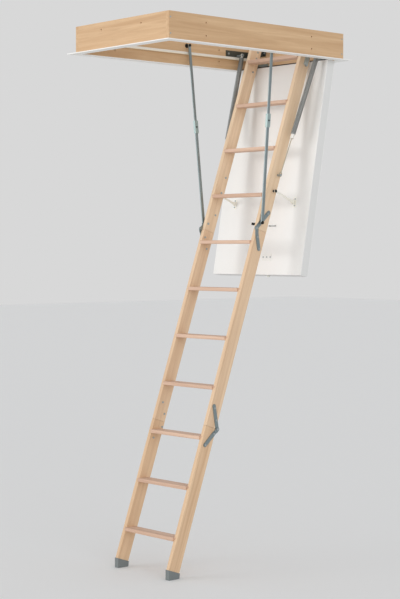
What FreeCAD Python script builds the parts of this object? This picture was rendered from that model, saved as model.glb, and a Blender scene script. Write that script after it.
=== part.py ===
import FreeCAD, Part
import math
import os
import re
import Sketcher

# Attic ladder: a wooden frame set in a ceiling opening, an insulated hatch hinged at one end, and a
# ladder in three sections that folds up above the hatch. It is modelled open and unfolded.
# +Z is up and z = 0 is the ceiling. +X runs along the treads, +Y towards the hinged end of the frame.
# The origin is on the trim's ceiling face, in the middle of the hinged end.
# "down the ladder" is measured along the stiles from the pivot that carries the ladder.

SIZES = {
    # frame in the ceiling
    "opening_width": 660, "opening_length": 1115, "board_thick": 20, "board_height": 130,
    "trim_overhang": 30, "trim_thick": 4, "trim_rebate": 1, "bead_width": 12, "bead_height": 10, "seal_thick": 3,
    "fixing_spacing_long": 700, "fixing_spacing_high": 60, "fixing_spacing_wide": 300,
    "fixing_radius": 4, "screw_radius": 2, "screw_head_radius": 4, "screw_head_height": 3,
    "screw_length": 50, "corner_screw_inset": 28,
    # hatch
    "hatch_side_gap": 7, "hatch_end_gap": 4, "hatch_thick": 52, "skin_thick": 3, "rail_width": 45,
    "hatch_open": 80, "hinge_drop": 6, "hinge_setback": 6, "hinge_plate": 2, "hinge_length": 100,
    "hinge_height": 36, "hinge_spacing": 440, "hinge_barrel_radius": 4, "hinge_pin_radius": 2,
    "knuckle_gap": 0.4,
    # ladder pivot and lean
    "lean": 19.39, "pivot_inset": 65, "pivot_height": 80, "pivot_radius": 6, "pivot_head": 9, "pivot_boss": 14,
    "bracket_thick": 3, "bracket_length": 160, "bracket_tall": 33, "bracket_reach": 189, "bracket_gap": 1,
    "bracket_screw_inset": 18,
    # stiles, treads and feet
    "ladder_inner": 364, "stile_thick": 21, "stile_depth": 67, "pivot_edge": 22, "stile_tail": 35, "top_plate_reach": 110,
    "top_bolt_first": 35, "top_bolt_second": 112,
    "fold_upper": 1004, "fold_lower": 2011, "joint_gap": 1, "room_height": 2520,
    "tread_first": 74.7, "tread_pitch": 250, "tread_thick": 18, "tread_depth": 64,
    "tread_nosing": 8, "tread_housing": 10, "tread_round": 4,
    "foot_height": 49, "foot_wall": 2.5, "foot_sole": 6, "foot_heel": 4,
    # fold hinges
    "knuckle_out": 6, "leaf_radius": 10, "leaf_reach_up": 115, "leaf_reach_down": 105, "leaf_angle": 29, "leaf_thick": 3,
    "leaf_overlap": 14, "leaf_clear": 0.3, "leaf_room": 0.5, "fold_pin_radius": 4, "fold_pin_head": 6.5, "fold_pin_cap": 1.5,
    "bolt_near": 45, "bolt_near_low": 30, "bolt_far": 105,
    "bolt_radius": 3, "bolt_head_radius": 5.5, "bolt_head_height": 2.5, "nut_radius": 5, "hole_clear": 0.1,
    "run_clear": 0.05,
    # folding stays between frame and ladder
    "stay_anchor_inset": 435, "stay_anchor_height": 98, "stay_anchor_gap": 22, "stay_washer": 11,
    "stay_foot_gap": 14.5, "stay_foot_reach": 39, "stay_upper": 423, "stay_bar_width": 15,
    "stay_bar_thick": 5, "stay_lower_thick": 6, "stay_side_clear": 2.2, "stay_back_clear": 0.5, "sleeve_length": 66,
    "sleeve_wall": 2, "sleeve_lip": 3, "stay_pin_radius": 4, "stay_pin_head": 7, "stay_pin_end": 2,
    "stay_foot_clear": 0.5,
    # springs
    "spring_inset": 80, "spring_height": 74, "spring_gap": 42, "spring_radius": 12.5,
    "spring_wire": 3, "spring_start": 14, "spring_length": 465, "spring_rod_radius": 2.5,
    "spring_plug": 10, "spring_cap": 22, "spring_lap": 2, "spring_eye": 9, "spring_eye_thick": 3, "spring_eye_clear": 0.4,
    "spring_slot": 7, "slot_side_clear": 1.8, "spring_post_radius": 4, "spring_post_head": 6.5,
    "spring_foot_gap": 18, "spring_bolt_drop": 705, "spring_bolt_edge": 19, "spring_bolt_radius": 3.5,
    "spring_bolt_head": 6,
    # link between ladder and hatch
    "link_thick": 3, "link_half": 5, "link_eye": 8, "link_gap": 12.5, "link_seat": 733,
    "link_stand": 15, "link_pin_radius": 4, "link_bolt_drop": 790, "link_bolt_edge": 21,
    "link_bolt_radius": 4, "link_bolt_head": 7.5, "link_nut": 6, "ear_gap": 0.4, "ear_half": 11,
    "ear_foot": 16, "ear_plate": 50, "ear_screw_inset": 8,
    # latch
    "latch_across": 68, "latch_from_edge": 90, "latch_width": 66, "latch_height": 36,
    "latch_plate": 2, "latch_round": 5, "latch_screw_inset": 7.5, "tongue_width": 14,
    "tongue_thick": 5, "tongue_reach": 8, "tongue_clear": 0.3, "keeper_depth": 8, "keeper_clear": 2,
    "spindle_radius": 5, "key_radius": 12, "key_height": 6, "key_socket": 8, "key_floor": 1,
    "hatch_screw_radius": 4.5, "hatch_screw_height": 1.5,
    # pole clips on the hatch
    "clip_wall": 2, "hook_across": 51, "hook_down": 840, "hook_width": 30, "hook_height": 12,
    "hook_depth": 12, "rest_across": 82, "rest_down": 852, "rest_width": 43, "rest_height": 6,
    "rest_depth": 9,
}

doc = FreeCAD.newDocument("attic_ladder")
dims = doc.addObject("Spreadsheet::Sheet", "dims")
for row, (alias, value) in enumerate(SIZES.items(), start=1):
    dims.set(f"A{row}", alias)
    dims.set(f"B{row}", str(value))
    dims.setAlias(f"B{row}", alias)
doc.recompute()

X_AXIS = FreeCAD.Vector(1, 0, 0)
Y_AXIS = FreeCAD.Vector(0, 1, 0)
BACKWARD = FreeCAD.Vector(-1, 0, 0)
SIDES = {"left": -1, "right": 1}
nodes = []
pairs = {}


# ---------------------------------------------------------------- helpers

def sheet(formula):
    """The formula with every size named in it read from the spreadsheet."""
    return re.sub(r"[a-z_]{4,}", lambda m: "dims." + m.group() if m.group() in SIZES else m.group(), formula)


def place(thing, x="0", y="0", z="0", turn=None, axis=X_AXIS):
    """Binds where a thing stands, and its turn about an axis."""
    thing.Placement = FreeCAD.Placement(FreeCAD.Vector(), FreeCAD.Rotation(axis, 10 if turn else 0))
    for letter, formula in zip("xyz", (x, y, z)):
        thing.setExpression("Placement.Base." + letter, sheet(formula))
    if turn:
        thing.setExpression("Placement.Rotation.Angle", sheet(turn))
    return thing


def box(name, corner, spans):
    """A block from its lowest corner, with its spans along X, Y and Z."""
    block = doc.addObject("Part::Box", name)
    for prop, formula in zip(("Length", "Width", "Height"), spans):
        block.setExpression(prop, sheet(formula))
    return place(block, *corner)


def rod(name, radius, length, x, y, z, turn="90", axis=Y_AXIS):
    """A round bar that starts at x, y, z. It runs along +X unless turned otherwise."""
    bar = doc.addObject("Part::Cylinder", name)
    bar.setExpression("Radius", sheet(radius))
    bar.setExpression("Height", sheet(length))
    return place(bar, x, y, z, turn, axis)


def side_rod(name, side, radius, start, length, y, z):
    """A round bar along X, from start outwards on the given side."""
    return rod(name, radius, length, outward(side, start, length), y, z)


def outward(side, start, length):
    """Where a span along X begins, when it runs outwards from start on the given side."""
    return start if side > 0 else f"-({start}) - ({length})"


def prism(name, role, outline, start, length):
    """A body with a straight-sided outline on one of its origin planes, padded to a length."""
    body = doc.addObject("PartDesign::Body", name)
    plane = [f for f in body.Origin.OriginFeatures if f.Role == role][0]
    sketch = body.newObject("Sketcher::SketchObject", name + "_sketch")
    sketch.AttachmentSupport = [(plane, "")]
    sketch.MapMode = "FlatFace"
    sketch.setExpression("AttachmentOffset.Base.z", sheet(start))
    count = len(outline)
    ring = [FreeCAD.Vector(math.cos(2 * math.pi * i / count), math.sin(2 * math.pi * i / count), 0) * 50
            for i in range(count)]
    for i in range(count):
        sketch.addGeometry(Part.LineSegment(ring[i], ring[(i + 1) % count]), False)
    for i in range(count):
        sketch.addConstraint(Sketcher.Constraint("Coincident", i, 2, (i + 1) % count, 1))
    for i, point in enumerate(outline):
        for kind, formula, value in zip(("DistanceX", "DistanceY"), point, ring[i]):
            index = sketch.addConstraint(Sketcher.Constraint(kind, -1, 1, i, 1, value))
            sketch.setExpression(f"Constraints[{index}]", sheet(formula))
    pad = body.newObject("PartDesign::Pad", name + "_pad")
    pad.Profile = sketch
    pad.setExpression("Length", sheet(length))
    return body


def round_edges(body, radius, picks):
    """Fillets those edges of a body that the test picks."""
    doc.recompute()
    edges = [f"Edge{i + 1}" for i, edge in enumerate(body.Tip.Shape.Edges) if picks(edge)]
    fillet = body.newObject("PartDesign::Fillet", body.Name + "_round")
    fillet.Base = (body.Tip if body.Tip != fillet else fillet.BaseFeature, edges)
    fillet.setExpression("Radius", sheet(radius))
    return body


def fused(name, parts):
    union = doc.addObject("Part::MultiFuse", name)
    union.Shapes = parts
    union.Refine = True
    return union


def group(name, parts):
    bundle = doc.addObject("Part::Compound", name)
    bundle.Links = parts
    return bundle


def less(name, base, tools):
    """The base with the tools cut away."""
    result = doc.addObject("Part::Cut", name)
    result.Base = base
    result.Tool = tools[0] if len(tools) == 1 else group(name + "_tools", tools)
    return result


def both(thing, label):
    """Keeps one of two mirrored pieces, for a node that holds them both."""
    pairs.setdefault(label, []).append(thing)


def node(thing, label):
    thing.Label = label
    nodes.append(thing)
    return thing


# ---------------------------------------------------------------- shared places

HINGE_FACE = "(-trim_overhang/2 - board_thick)"
LATCH_FACE = f"({HINGE_FACE} - opening_length)"
HALF_OPEN = "opening_width/2"
HALF_INNER = "(ladder_inner/2)"
HALF_OUTER = "(ladder_inner/2 + stile_thick)"
FRONT = "(pivot_edge - stile_depth)"
BACK = "pivot_edge"
PIVOT_Y = f"({HINGE_FACE} - pivot_inset)"
PIVOT_Z = "pivot_height"
HATCH_Y = f"({HINGE_FACE} - hinge_setback)"
HATCH_Z = "(-hinge_drop)"
TONGUE_Z = "(hinge_drop + hatch_thick/2)"


def on_ladder(y, z):
    """Frame coordinates of a point given across the stile (y, towards its back) and up along it (z)."""
    return (f"({PIVOT_Y} + ({y})*cos(lean) + ({z})*sin(lean))",
            f"({PIVOT_Z} - ({y})*sin(lean) + ({z})*cos(lean))")


def lean_with_ladder(thing):
    return place(thing, "0", PIVOT_Y, PIVOT_Z, "lean", BACKWARD)


def on_hatch(y, z):
    """Frame coordinates of a point of the hatch, given as it lies when shut, from its hinge axis."""
    return (f"({HATCH_Y} + ({y})*cos(hatch_open) - ({z})*sin(hatch_open))",
            f"({HATCH_Z} + ({y})*sin(hatch_open) + ({z})*cos(hatch_open))")


def open_with_hatch(thing):
    return place(thing, "0", HATCH_Y, HATCH_Z, "hatch_open", X_AXIS)


# ---------------------------------------------------------------- frame

MIDDLE_Y = f"({HINGE_FACE} - opening_length/2)"
OUTER_LENGTH = "(opening_length + 2*board_thick)"
BOARD_FOOT = "(-trim_rebate)"
BOARD_TALL = "(board_height + trim_rebate)"


def corner_screws():
    """Screws through the side boards into the ends of the end boards, and the holes they need."""
    screws, holes = [], []
    for side in SIDES.values():
        for end, y in (("hinge", f"({HINGE_FACE} + board_thick/2)"), ("latch", f"({LATCH_FACE} - board_thick/2)")):
            for level, z in (("low", "corner_screw_inset"), ("high", "(board_height - corner_screw_inset)")):
                name = f"corner_screw_{end}_{level}_{'right' if side > 0 else 'left'}"
                outer = f"({HALF_OPEN} + board_thick)"
                for store, clear in ((screws, "0"), (holes, "hole_clear")):
                    suffix = "" if store is screws else "_hole"
                    store.append(fused(name + suffix, [
                        side_rod(name + suffix + "_shank", side, f"(screw_radius + {clear})",
                                 f"({outer} - screw_length - {clear})", f"(screw_length + {clear})", y, z),
                        side_rod(name + suffix + "_head", side, f"(screw_head_radius + {clear})",
                                 f"({outer} - screw_head_height)", "screw_head_height", y, z)]))
    return screws, holes


def frame():
    screws, holes = corner_screws()
    strips = []
    for name, side in SIDES.items():
        board = box(f"{name}_board", (outward(side, HALF_OPEN, "board_thick"), f"{LATCH_FACE} - board_thick",
                                        BOARD_FOOT), ("board_thick", OUTER_LENGTH, BOARD_TALL))
        fixings = [side_rod(f"{name}_fixing_{i}{j}", side, "fixing_radius", HALF_OPEN, "board_thick",
                            f"({MIDDLE_Y} + {i}*fixing_spacing_long/2)",
                            f"(board_height/2 + {j}*fixing_spacing_high/2)")
                   for i in (-1, 1) for j in (-1, 1)]
        node(less(f"side_board_{name}", board, fixings + holes), f"side_board_{name}")
        strip = box(f"trim_long_{name}", (outward(side, HALF_OPEN, "board_thick + trim_overhang"),
                                          f"{LATCH_FACE} - board_thick - trim_overhang", "-trim_thick"),
                    ("board_thick + trim_overhang", f"{OUTER_LENGTH} + 2*trim_overhang", "trim_thick"))
        strips.append(less(f"trim_long_{name}_rebated", strip, [
            box(f"trim_rebate_{name}", (outward(side, f"{HALF_OPEN} - 1", "board_thick + 1"),
                                        f"{LATCH_FACE} - board_thick", BOARD_FOOT),
                ("board_thick + 1", OUTER_LENGTH, "2*trim_rebate"))]))
    for name, start, strip in (("hinge_end", HINGE_FACE, HINGE_FACE),
                               ("latch_end", f"({LATCH_FACE} - board_thick)",
                                f"({LATCH_FACE} - board_thick - trim_overhang)")):
        board = box(f"{name}_board", (f"-{HALF_OPEN}", start, BOARD_FOOT),
                    ("opening_width", "board_thick", BOARD_TALL))
        fixings = [rod(f"{name}_fixing_{i}", "fixing_radius", "board_thick", f"{i}*fixing_spacing_wide/2",
                       f"({start} + board_thick)", "(board_height/2 + fixing_spacing_high/2)", "90", X_AXIS)
                   for i in (-1, 1)]
        cuts = fixings + holes
        if name == "latch_end":
            cuts.append(box("keeper_pocket", ("latch_across - tongue_width/2 - keeper_clear",
                                              f"({LATCH_FACE} - keeper_depth)",
                                              f"({HATCH_Z} + {TONGUE_Z} - tongue_thick/2 - keeper_clear)"),
                            ("tongue_width + 2*keeper_clear", "keeper_depth", "tongue_thick + 2*keeper_clear")))
        node(less(f"{name}_board_drilled", board, cuts), f"end_board_{name}")
        strip_blank = box(f"trim_{name}", (f"-{HALF_OPEN}", strip, "-trim_thick"),
                          ("opening_width", "board_thick + trim_overhang", "trim_thick"))
        strips.append(less(f"trim_{name}_rebated", strip_blank, [
            box(f"trim_rebate_{name}", (f"-{HALF_OPEN}", start, BOARD_FOOT),
                ("opening_width", "board_thick", "2*trim_rebate"))]))
    node(group("trim_strips", strips), "ceiling_trim")
    return screws


def stop_bead():
    """The wooden stop that the shut hatch closes up against, with a rubber seal beneath it."""
    seal_z = "(hatch_thick + run_clear)"
    bead_z = f"({seal_z} + seal_thick)"
    length = "opening_length"
    for what, z, thick, tall in (("stop_bead", bead_z, "bead_width", "bead_height"),
                                 ("seal", seal_z, "bead_width", "seal_thick")):
        strips = [box(f"{what}_{name}", (outward(side, f"({HALF_OPEN} - {thick})", thick), LATCH_FACE, z),
                      (thick, length, tall)) for name, side in SIDES.items()]
        strips.append(box(f"{what}_latch_end", (f"-{HALF_OPEN} + {thick}", LATCH_FACE, z),
                          (f"opening_width - 2*{thick}", thick, tall)))
        node(group(what, strips), what if what == "stop_bead" else "hatch_seal")


# ---------------------------------------------------------------- ladder pivots

def pivot_bracket(name, side):
    """A plate folded round the frame's corner, with an ear that carries the ladder's pivot."""
    low = f"({PIVOT_Z} - pivot_boss)"
    middle = f"({low} + bracket_tall/2)"
    ear_x = f"({HALF_OUTER} + leaf_thick + bracket_gap)"
    ear = outward(side, ear_x, "bracket_thick")
    back = f"({HINGE_FACE} - bracket_thick)"
    rear = f"({HALF_OPEN} - bracket_reach)"
    parts = [
        box(f"{name}_bracket_plate", (outward(side, f"({HALF_OPEN} - bracket_thick)", "bracket_thick"),
                                      f"({HINGE_FACE} - bracket_length)", low),
            ("bracket_thick", "bracket_length", "bracket_tall")),
        box(f"{name}_bracket_rear", (outward(side, "bracket_reach", rear), back, low),
            (rear, "bracket_thick", "bracket_tall")),
        box(f"{name}_bracket_ear", (ear, PIVOT_Y, low),
            ("bracket_thick", f"({HINGE_FACE} - {PIVOT_Y})", "(2*pivot_boss)")),
        side_rod(f"{name}_bracket_boss", side, "pivot_boss", ear_x, "bracket_thick", PIVOT_Y, PIVOT_Z)]
    pin_start = HALF_INNER
    pin_end = f"({ear_x} + bracket_thick)"
    bore = side_rod(f"{name}_pivot_bore", side, "pivot_radius", pin_start, f"({pin_end} - {pin_start})", PIVOT_Y, PIVOT_Z)
    hook_y = f"({HINGE_FACE} - spring_inset)"

    def screw(label, x, y, turn, axis):
        """A screw's head on the bracket and its shank through it."""
        if axis is X_AXIS:
            return (rod(f"{label}_shank", "bolt_radius", "bracket_thick", x, HINGE_FACE, middle, turn, axis),
                    rod(f"{label}_head", "bolt_head_radius", "bolt_head_height", x, back, middle, turn, axis))
        face = f"({HALF_OPEN} - bracket_thick)"
        return (side_rod(f"{label}_shank", side, "bolt_radius", face, "bracket_thick", y, middle),
                side_rod(f"{label}_head", side, "bolt_head_radius", f"({face} - bolt_head_height)",
                         "bolt_head_height", y, middle))

    spots = [(None, f"({HINGE_FACE} - bracket_length + bracket_screw_inset)"),
             (None, f"({HINGE_FACE} - 2*bracket_screw_inset)"),
             (f"{side}*(bracket_reach + bracket_screw_inset/2)", None),
             (f"{side}*(bracket_reach + 2*bracket_screw_inset)", None)]
    screws = [screw(f"{name}_bracket_screw_{i}", x, y, "90", X_AXIS if x else Y_AXIS)
              for i, (x, y) in enumerate(spots)]
    drilled = less(f"{name}_bracket", fused(f"{name}_bracket_blank", parts), [bore] + [shank for shank, _ in screws])
    both(drilled, "pivot_brackets")
    pin = fused(f"{name}_pivot_pin", [
        side_rod(f"{name}_pivot_shank", side, "pivot_radius", pin_start, f"({pin_end} - {pin_start})", PIVOT_Y, PIVOT_Z),
        side_rod(f"{name}_pivot_head", side, "pivot_head", pin_end, "bolt_head_height", PIVOT_Y, PIVOT_Z)])
    heads = [fused(f"{name}_bracket_screw_{i}", [shank, head]) for i, (shank, head) in enumerate(screws)]
    spring_x = f"({HALF_OPEN} - spring_gap - spring_eye_thick/2 - spring_eye_clear)"
    hook = fused(f"{name}_spring_post_blank", [
        side_rod(f"{name}_spring_post", side, "spring_post_radius", spring_x, f"({HALF_OPEN} - {spring_x})",
                 hook_y, "spring_height"),
        side_rod(f"{name}_spring_post_head", side, "spring_post_head", f"({spring_x} - bolt_head_height)",
                 "bolt_head_height", hook_y, "spring_height")])
    hook = less(f"{name}_spring_post_cut", hook, [drilled])
    return pin, heads, hook


# ---------------------------------------------------------------- hatch

HATCH_WIDTH = "(opening_width - 2*hatch_side_gap)"
HATCH_LENGTH = "(opening_length - hinge_setback - hinge_plate - hatch_end_gap)"
PANEL_NEAR = f"(-hinge_plate - {HATCH_LENGTH})"
ROOM_FACE = "hinge_drop"
ATTIC_FACE = "(hinge_drop + hatch_thick)"
HALF_HATCH = f"({HATCH_WIDTH}/2)"
LATCH_LINE = f"({PANEL_NEAR} + latch_from_edge)"


def turned(name, parts):
    """Parts given as the hatch lies when shut, swung open with it."""
    return open_with_hatch(group(name, parts))


def hatch():
    core_z, core_tall = "(hinge_drop + skin_thick)", "(hatch_thick - 2*skin_thick)"
    spindle = upright("spindle_hole", "(spindle_radius + run_clear)", f"({TONGUE_Z} - {ROOM_FACE})",
                      "latch_across", LATCH_LINE, ROOM_FACE)
    slot = box("tongue_slot", ("latch_across - tongue_width/2 - tongue_clear", PANEL_NEAR,
                               f"{TONGUE_Z} - tongue_thick/2 - tongue_clear"),
               ("tongue_width + 2*tongue_clear", "latch_from_edge + tongue_reach + tongue_width",
                "tongue_thick + 2*tongue_clear"))
    full = (HATCH_WIDTH, HATCH_LENGTH, "skin_thick")
    room = box("room_skin_blank", (f"-{HALF_HATCH}", PANEL_NEAR, ROOM_FACE), full)
    attic = box("attic_skin_blank", (f"-{HALF_HATCH}", PANEL_NEAR, f"({ATTIC_FACE} - skin_thick)"), full)
    node(open_with_hatch(less("room_skin", room, [spindle])), "hatch_room_skin")
    node(turned("attic_skin", [attic]), "hatch_attic_skin")
    between = f"({HATCH_WIDTH} - 2*rail_width)"
    side_rail = ("rail_width", HATCH_LENGTH, core_tall)
    cross_rail = (between, "rail_width", core_tall)
    rails = [box("rail_left", (f"-{HALF_HATCH}", PANEL_NEAR, core_z), side_rail),
             box("rail_right", (f"{HALF_HATCH} - rail_width", PANEL_NEAR, core_z), side_rail),
             box("rail_hinge_end", (f"-{HALF_HATCH} + rail_width", "-hinge_plate - rail_width", core_z), cross_rail),
             less("rail_latch_end", box("rail_latch_blank", (f"-{HALF_HATCH} + rail_width", PANEL_NEAR, core_z),
                                        cross_rail), [slot])]
    node(turned("hatch_rails", rails), "hatch_rails")
    core = box("core_blank", (f"-{HALF_HATCH} + rail_width", f"{PANEL_NEAR} + rail_width", core_z),
               (between, f"({HATCH_LENGTH} - 2*rail_width)", core_tall))
    node(open_with_hatch(less("core", core, [slot, spindle])), "hatch_insulation")


def upright(name, radius, length, x, y, z):
    """A round bar along +Z."""
    return rod(name, radius, length, x, y, z, None, X_AXIS)


def hatch_hinges():
    """Two butt hinges: a leaf on the frame's end board, a leaf on the hatch's end, and a pin."""
    frame_leaves, hatch_leaves, pins = [], [], []
    outer_knuckle = "(hinge_length/4)"
    barrel_y = HATCH_Y
    for name, side in SIDES.items():
        start = f"({side}*hinge_spacing/2 - hinge_length/2)"
        bore = rod(f"{name}_butt_bore", "(hinge_pin_radius + run_clear)", "hinge_length", start, barrel_y, HATCH_Z)
        plate_y = f"({HINGE_FACE} - hinge_plate)"
        window = box(f"{name}_butt_window",
                     (f"{start} + {outer_knuckle} - knuckle_gap", f"{HATCH_Y} - 2*hinge_barrel_radius",
                      f"{HATCH_Z} - 2*hinge_barrel_radius"),
                     (f"hinge_length - 2*{outer_knuckle} + 2*knuckle_gap",
                      "(hinge_setback + 2*hinge_barrel_radius)", "(3*hinge_barrel_radius + 1)"))
        leaf = fused(f"{name}_frame_leaf_blank", [
            box(f"{name}_frame_plate", (start, plate_y, f"({HATCH_Z} - hinge_barrel_radius)"),
                ("hinge_length", "hinge_plate", "hinge_height")),
            box(f"{name}_frame_neck", (start, HATCH_Y, f"({HATCH_Z} - hinge_plate/2)"),
                ("hinge_length", f"({HINGE_FACE} - {HATCH_Y})", "hinge_plate")),
            rod(f"{name}_frame_barrel", "hinge_barrel_radius", "hinge_length", start, barrel_y, HATCH_Z)])
        frame_leaves.append(less(f"{name}_frame_leaf", leaf, [bore, window]))
        local_bore = rod(f"{name}_hatch_bore", "(hinge_pin_radius + run_clear)", "hinge_length", start, "0", "0")
        middle = f"({start} + {outer_knuckle})"
        middle_length = f"(hinge_length - 2*{outer_knuckle})"
        hatch_leaves.append(less(f"{name}_hatch_leaf", fused(f"{name}_hatch_leaf_blank", [
            box(f"{name}_hatch_plate", (start, "-hinge_plate", "(hinge_barrel_radius + 1)"),
                ("hinge_length", "hinge_plate", "(hinge_height - hinge_barrel_radius)")),
            box(f"{name}_hatch_neck", (middle, "-hinge_plate", "0"),
                (middle_length, "hinge_plate", "(hinge_barrel_radius + 2)")),
            rod(f"{name}_hatch_barrel", "hinge_barrel_radius", middle_length, middle, "0", "0")]), [local_bore]))
        pins.append(rod(f"{name}_butt_pin", "hinge_pin_radius", "hinge_length", start, barrel_y, HATCH_Z))
    node(group("frame_leaves", frame_leaves), "hatch_hinge_frame_leaves")
    node(turned("hatch_leaves", hatch_leaves), "hatch_hinge_hatch_leaves")
    node(group("butt_pins", pins), "hatch_hinge_pins")


def latch():
    """A turn-key latch: a cover and its screws, a key socket with its spindle, and a sliding tongue."""
    ends = [(f"latch_across {i} latch_width/2", f"{LATCH_LINE} {j} latch_height/2")
            for i, j in (("-", "-"), ("+", "-"), ("+", "+"), ("-", "+"))]
    cover = prism("latch_cover_body", "XY_Plane", ends, ATTIC_FACE, "latch_plate")
    round_edges(cover, "latch_round", vertical)
    node(turned("latch_cover_set", [cover]), "latch_cover")
    spots = ("latch_across - latch_width/2 + latch_screw_inset", "latch_across",
             "latch_across + latch_width/2 - latch_screw_inset")
    screws = [upright(f"latch_screw_{i}", "hatch_screw_radius", "hatch_screw_height", x, LATCH_LINE,
                      f"({ATTIC_FACE} + latch_plate)") for i, x in enumerate(spots)]
    key = fused("latch_key_blank", [
        upright("spindle_low", "spindle_radius", f"({TONGUE_Z} - tongue_thick/2 - tongue_clear - hinge_drop)",
                "latch_across", LATCH_LINE, ROOM_FACE),
        upright("key_rose", "key_radius", "key_height", "latch_across", LATCH_LINE, "(hinge_drop - key_height)")])
    socket = box("key_socket_gap", ("latch_across - key_socket/2", f"{LATCH_LINE} - key_socket/2",
                                    "(hinge_drop - key_height)"),
                 ("key_socket", "key_socket", "(key_height - key_floor)"))
    node(open_with_hatch(less("latch_key_cut", key, [socket])), "latch_key_socket")
    tongue = prism("tongue_body", "XY_Plane", [
        ("latch_across - tongue_width/2", f"{PANEL_NEAR} - tongue_reach"),
        ("latch_across + tongue_width/2", f"{PANEL_NEAR} - tongue_reach"),
        ("latch_across + tongue_width/2", f"{LATCH_LINE} + tongue_width/2"),
        ("latch_across - tongue_width/2", f"{LATCH_LINE} + tongue_width/2")],
        f"({TONGUE_Z} - tongue_thick/2)", "tongue_thick")
    node(turned("latch_tongue_set", [tongue]), "latch_tongue")
    return screws


def vertical(edge):
    return abs(edge.tangentAt(edge.FirstParameter).z) > 0.99


def pole_clips():
    """A hook and a wider rest on the hatch that hold the opening pole."""
    clips = []
    for what, side in (("hook", -1), ("rest", 1)):
        x = f"({side}*{what}_across - {what}_width/2)"
        y = f"(-hinge_plate - {what}_down - {what}_height/2)"
        blank = box(f"clip_{what}", (x, y, ATTIC_FACE), (f"{what}_width", f"{what}_height", f"{what}_depth"))
        gap = box(f"clip_{what}_gap", (f"({x} + clip_wall)", y, f"({ATTIC_FACE} + clip_wall)"),
                  (f"({what}_width - 2*clip_wall)", f"{what}_height", f"{what}_depth"))
        clips.append(less(f"clip_{what}_cut", blank, [gap]))
    node(turned("pole_clip_set", clips), "pole_clips")


# ---------------------------------------------------------------- ladder

SECTIONS = {
    "upper": ("stile_tail", "-(fold_upper - joint_gap/2)"),
    "middle": ("-(fold_upper + joint_gap/2)", "-(fold_lower - joint_gap/2)"),
    "lower": ("-(fold_lower + joint_gap/2)", None),
}


def tread_numbers():
    """As many treads as the stiles have room for above the caps, told apart by the section that carries them."""
    reach = (SIZES["room_height"] + SIZES["pivot_height"])/math.cos(math.radians(SIZES["lean"]))
    last = reach - SIZES["foot_height"] - SIZES["tread_depth"]
    numbers = {section: [] for section in SECTIONS}
    number, down = 1, SIZES["tread_first"]
    while down < last:
        section = "upper" if down < SIZES["fold_upper"] else "middle" if down < SIZES["fold_lower"] else "lower"
        numbers[section].append(number)
        number, down = number + 1, down + SIZES["tread_pitch"]
    return numbers


def floor_line(y, above):
    """How far along the stile a point across it reaches a given height above the floor."""
    return f"((-room_height + {above} - {PIVOT_Z} + ({y})*sin(lean))/cos(lean))"


def stile_outline(section):
    top, bottom = SECTIONS[section]
    low_front = bottom or floor_line(FRONT, "foot_sole")
    low_back = bottom or floor_line(BACK, "foot_sole")
    return [(FRONT, low_front), (BACK, low_back), (BACK, top), (FRONT, top)]


def tread(number):
    """A level plank let into both stiles, with a rounded nosing that stands proud between them."""
    down = f"(-(tread_first + {number - 1}*tread_pitch))"
    y, z = on_ladder(FRONT, down)
    length = "(ladder_inner/2 + tread_housing)"
    body = prism(f"tread_{number}", "XY_Plane", [
        (f"-{HALF_INNER}", "-tread_nosing"), (HALF_INNER, "-tread_nosing"),
        (HALF_INNER, "0"), (length, "0"),
        (length, "tread_depth - tread_nosing"), (f"-{length}", "tread_depth - tread_nosing"),
        (f"-{length}", "0"), (f"-{HALF_INNER}", "0")], "-tread_thick/2", "tread_thick")
    place(body, "0", y, z)
    low = -SIZES["tread_nosing"]
    round_edges(body, "tread_round", lambda edge: all(abs(v.Point.y - low) < 1e-6 for v in edge.Vertexes)
                and abs(edge.tangentAt(edge.FirstParameter).x) > 0.99)
    return body


class Fold:
    """One fold hinge: where its knuckle is and which way its leaves run back over the stile."""

    def __init__(self, name, down, front):
        self.name = name
        self.down = f"(-{down})"
        self.across = f"({FRONT} - knuckle_out)" if front else f"({BACK} + knuckle_out)"
        self.inward = 1 if front else -1

    def along(self, distance, upward):
        """A point at a distance from the knuckle along the leaf that runs up or down."""
        return on_ladder(f"({self.across} + {self.inward}*({distance})*sin(leaf_angle))",
                         f"({self.down} + {1 if upward else -1}*({distance})*cos(leaf_angle))")


FOLDS = {"upper": Fold("upper", "fold_upper", True), "lower": Fold("lower", "fold_lower", False)}


def strap(name, side, fold, upward, start_x, thick, begin, end, radius="leaf_radius"):
    """A flat strap with round ends, along a leaf's line from one distance to another."""
    y, z = on_ladder(fold.across, fold.down)
    begin_y, begin_z = fold.along(begin, upward)
    end_y, end_z = fold.along(end, upward)
    x = outward(side, start_x, thick)
    web = box(name + "_web", ("0", f"-{radius}", begin), (thick, f"2*{radius}", f"({end}) - ({begin})"))
    parts = [group(name + "_web_set", [web])]
    tilt = fold.inward * (1 if upward else -1)
    base = "lean" if upward else "(lean + 180)"
    place(parts[0], x, y, z, f"({base} + {tilt}*leaf_angle)", BACKWARD)
    for which, (end_at_y, end_at_z) in (("first", (begin_y, begin_z)), ("last", (end_y, end_z))):
        parts.append(rod(f"{name}_{which}", radius, thick, x, end_at_y, end_at_z))
    return parts


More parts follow.
